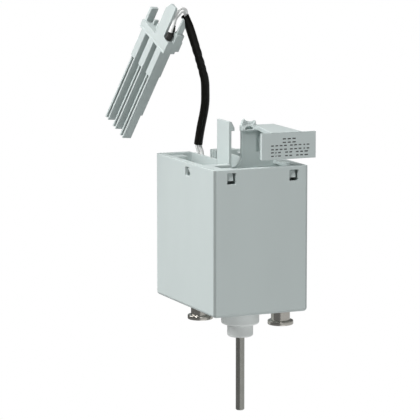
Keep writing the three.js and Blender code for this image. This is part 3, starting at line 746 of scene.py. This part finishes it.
BOX_LOW, BOX_HIGH = node_box("housing")
BOX_X, BOX_Y, BOX_Z = BOX_HIGH
BOX_WALL = 1.3
BOX_FLOOR = 2
BOX_ROUND = 1.2
BEYOND_X, BEYOND_Y = 19, 27
ROD_AXIS = node_axis("push_rod")
STUD_LEFT = node_axis("mounting_stud_left")
STUD_RIGHT = node_axis("mounting_stud_right")
BOSS_R, BOSS_BORE = 6.55, 4.75
STUD_SEAT_R, STUD_SEAT_TOP, STUD_HOLE_R = 3.55, 0.6, 1.8
# Windows through the walls for the cover's hooks: spans along each wall, then heights.
FRONT_WINDOWS_X = ((-12.54, -9.36), (10.4, 13.65))
FRONT_WINDOWS_Z = (45.1, 48.8)
SIDE_WINDOWS_Y = (-4.74, -0.87)
SIDE_WINDOWS_Z = (45.5, 48.45)
WINDOW_ROUND = 0.35
BACK_NOTCH = ((-4.6, 9.2), (21.5, BEYOND_Y), (46.5, 52))
# Posts on the floor carry the magnet frame, and pairs of ribs on the side walls guide the board's edges.
POSTS = ((-11, -16), (11, 0.5), (4.5, -16.5), (-3.5, 0.5))
POST_HALF, POST_TOP = 1.5, 5
RAILS_X = (13.6, 16.3)
RAILS_Y = (7.7, 10.7)
RAIL_THICK, RAIL_TOP = 0.8, 34
IN_FLOOR = 1.5


def cylinder(r, low, high, at, sides):
    return turned([(0, low), (r, low), (r, high), (0, high)], at, sides)


def box_mesh():
    """The closed box, its upright corners and bottom edges rounded."""
    bm = bmesh.new()
    bmesh.ops.create_cube(bm, size=1)
    bmesh.ops.scale(bm, vec=(2 * BOX_X, 2 * BOX_Y, BOX_Z), verts=bm.verts)
    bmesh.ops.translate(bm, vec=(0, 0, BOX_Z / 2), verts=bm.verts)
    below_rim = [edge for edge in bm.edges if any(vert.co.z < BOX_Z - 1 for vert in edge.verts)]
    bmesh.ops.bevel(bm, geom=below_rim, offset=BOX_ROUND, segments=8, profile=0.5, affect="EDGES")
    return stored(bm)


def boss_mesh():
    low, soft = BOX_LOW[2], 0.8
    return turned([
        (0, low), (BOSS_R - soft, low), *rounded_corner(BOSS_R - soft, low + soft, soft, -90, 0, 8),
        (BOSS_R, 1), (0, 1),
    ], ROD_AXIS, 128)


def housing_openings():
    in_room = BOX_FLOOR + 1
    yield cylinder(BOSS_BORE, BOX_LOW[2] - 1.1, in_room, ROD_AXIS, 96)
    for at in (STUD_LEFT, STUD_RIGHT):
        yield cylinder(STUD_SEAT_R, -1, STUD_SEAT_TOP, at, 64)
        yield cylinder(STUD_HOLE_R, STUD_SEAT_TOP - 0.1, in_room, at, 32)
    for x in FRONT_WINDOWS_X:
        yield block(x, (-BEYOND_Y, BEYOND_Y), FRONT_WINDOWS_Z, WINDOW_ROUND, "y")
    yield block((-BEYOND_X, BEYOND_X), SIDE_WINDOWS_Y, SIDE_WINDOWS_Z, WINDOW_ROUND, "x")
    yield block(*BACK_NOTCH)


def housing_supports():
    for x, y in POSTS:
        yield block((x - POST_HALF, x + POST_HALF), (y - POST_HALF, y + POST_HALF), (IN_FLOOR, POST_TOP))
    for side in (-1, 1):
        for y in RAILS_Y:
            yield block(sorted(side * x for x in RAILS_X), (y, y + RAIL_THICK), (IN_FLOOR, RAIL_TOP))


def housing_mesh():
    room_x, room_y = BOX_X - BOX_WALL, BOX_Y - BOX_WALL
    room = block((-room_x, room_x), (-room_y, room_y), (BOX_FLOOR, BOX_Z + 5), 0.5, "z")
    shell = join(cut(box_mesh(), room), boss_mesh())
    return join(cut(shell, *housing_openings()), *housing_supports())


place("housing_shell", softened(housing_mesh(), 0.22), "grey_plastic", stands_for=("housing",),
      look="box_plastic")

# ---------------------------------------------------------------- top cover, arm and clamp

LABEL_FACE = node_box("top_cover")[0][1]
STROKE = 0.42
GROOVE_DEPTH = 0.12
INK_FRONT, INK_BACK = 0.05, 0.3
EASE = 0.02
# Rows of plain marks on the label: height range, then each mark's ends along x.
MARK_ROWS = (
    ((58.0, 59.6), ((7.9, 9.1), (9.7, 10.9), (11.5, 12.7))),
    ((55.7, 57.4), (
        (3.6, 4.6), (5.2, 6.2), (6.8, 7.8), (8.4, 9.4), (10.6, 11.6), (12.2, 13.2), (13.8, 14.8),
        (15.6, 16.2), (16.8, 17.8),
    )),
    ((53.5, 55.1), (
        (3.6, 4.6), (5.2, 5.6), (6.2, 7.2), (8.8, 9.8), (10.4, 11.4), (12.8, 13.8), (14.4, 15.4),
        (16.0, 17.3),
    )),
)


def mark_blocks(front, back, inset):
    """Each mark is a pair of short level strokes, one above the other."""
    for (low, high), spans in MARK_ROWS:
        for left, right in spans:
            for z in (low + inset, high - STROKE + inset):
                yield block((left + inset, right - inset), (front, back), (z, z + STROKE - 2 * inset))


def label_marks_mesh():
    """The ink in the strokes' grooves, just below the label's face."""
    bm = bmesh.new()
    for mesh in mark_blocks(LABEL_FACE + INK_FRONT, LABEL_FACE + INK_BACK, EASE):
        bm.from_mesh(mesh)
    return stored(bm)


mark_grooves = mark_blocks(LABEL_FACE - 1, LABEL_FACE + GROOVE_DEPTH, -EASE)
cover = cut(softened(cad_solid("top_cover"), 0.13), *mark_grooves)
place("cover", cover, "grey_plastic", stands_for=("top_cover",))
place("label_marks", label_marks_mesh(), None, look="label_ink")
place("arm", softened(cad_solid("latch_arm"), 0.14), "grey_plastic", "latch", ("latch_arm",))
place("clamp", softened(cad_solid("lead_clamp"), 0.16), "grey_plastic", stands_for=("lead_clamp",))

# ---------------------------------------------------------------- turned parts


def bush_mesh():
    """The rod's guide: a round nose below the boss and a flange inside the box."""
    (_, _, low), (_, _, high) = node_box("guide_bush")
    bore, r, flange_r = 1.85, 4.45, 6.2
    soft, edge = 0.8, 0.15
    flange_low = 2.3
    return turned([
        (bore + 0.2, low), (r - soft, low), *rounded_corner(r - soft, low + soft, soft, -90, 0, 8),
        (r, flange_low), (flange_r - edge, flange_low), (flange_r, flange_low + edge),
        (flange_r, high - edge), (flange_r - edge, high), (bore, high), (bore, low + 0.2),
    ], ROD_AXIS, 128)


def rod_mesh():
    """A ground rod with a blunt tip, a groove for its clip and a small chamfer on its inner end."""
    (_, _, low), (r, _, high) = node_box("push_rod")
    groove_r, groove_low, groove_high = 0.95, 5.1, 6.3
    edge = 0.1
    return turned([
        (0, low), (r - 0.34, low), (r - edge, low + 0.2), (r, low + 0.34),
        (r, groove_low - edge), (r - edge, groove_low), (groove_r, groove_low),
        (groove_r, groove_high), (r - edge, groove_high), (r, groove_high + edge),
        (r, high - edge), (r - edge, high), (0, high),
    ], ROD_AXIS, 96)


def stud_mesh(at):
    """Head, neck and a rolled thread, drawn as rings."""
    (_, _, low), (_, _, high) = node_box("mounting_stud_left")
    head_r, head_top, head_soft = 4.4, -3.7, 0.3
    neck_r, neck_top = 3.25, 0.3
    crest_r, root_r, pitch, turns = 1.5, 1.24, 0.45, 9
    edge = 0.15
    thread = []
    for i in range(turns):
        z = neck_top + pitch * (i + 1)
        thread += [(crest_r, z), (crest_r, z + 0.1), (root_r, z + 0.25), (root_r, z + 0.3)]
    return turned([
        (0, low + 0.35), (1.3, low + 0.35), (1.5, low), (head_r - head_soft, low),
        *rounded_corner(head_r - head_soft, low + head_soft, head_soft, -90, 0),
        *rounded_corner(head_r - head_soft, head_top - head_soft, head_soft, 0, 90),
        (neck_r + edge, head_top), *rounded_corner(neck_r + edge, head_top + edge, edge, 270, 180, 4),
        (neck_r, neck_top - edge), (neck_r - edge, neck_top), (crest_r, neck_top), *thread,
        (crest_r - edge, high - edge), (crest_r - 2 * edge, high), (0, high),
    ], at, 96)


SPRING_LOW, SPRING_HIGH = 15.3, 29.7


def spring_mesh():
    """A round-wire coil spring about the rod's axis."""
    mean_r, wire_r, turns = 2.35, 0.25, 7
    around, sides = 48, 16
    count = around * turns
    foot = Vector((*ROD_AXIS, SPRING_LOW + wire_r))
    climb = SPRING_HIGH - SPRING_LOW - 2 * wire_r
    bm = bmesh.new()
    rings = []
    for i in range(count + 1):
        angle = 2 * math.pi * i / around
        out = Vector((math.cos(angle), math.sin(angle), 0))
        centre = foot + Vector((0, 0, climb * i / count)) + out * mean_r
        ring = []
        for k in range(sides):
            turn = 2 * math.pi * k / sides
            aside = out * (wire_r * math.cos(turn)) + Vector((0, 0, wire_r * math.sin(turn)))
            ring.append(bm.verts.new(centre + aside))
        rings.append(ring)
    for low, high in zip(rings, rings[1:]):
        for k in range(sides):
            j = (k + 1) % sides
            bm.faces.new((low[k], low[j], high[j], high[k]))
    bm.faces.new(rings[0][::-1])
    bm.faces.new(rings[-1])
    bmesh.ops.recalc_face_normals(bm, faces=bm.faces)
    return stored(bm)


def make_spring():
    """The coil spring about the rod's axis, given a mesh of its own."""
    spring = place("spring", spring_mesh(), "spring_steel", stands_for=("return_spring",))
    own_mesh(spring)


make_spring()
place("bush", bush_mesh(), "grey_plastic", stands_for=("guide_bush",), look="bush_plastic")
place("rod", rod_mesh(), "ground_steel", "plunger", ("push_rod",), sharp=30)
place("stud_left", stud_mesh(STUD_LEFT), "nickel", stands_for=("mounting_stud_left",), sharp=40)
place("stud_right", stud_mesh(STUD_RIGHT), "nickel", stands_for=("mounting_stud_right",), sharp=40)
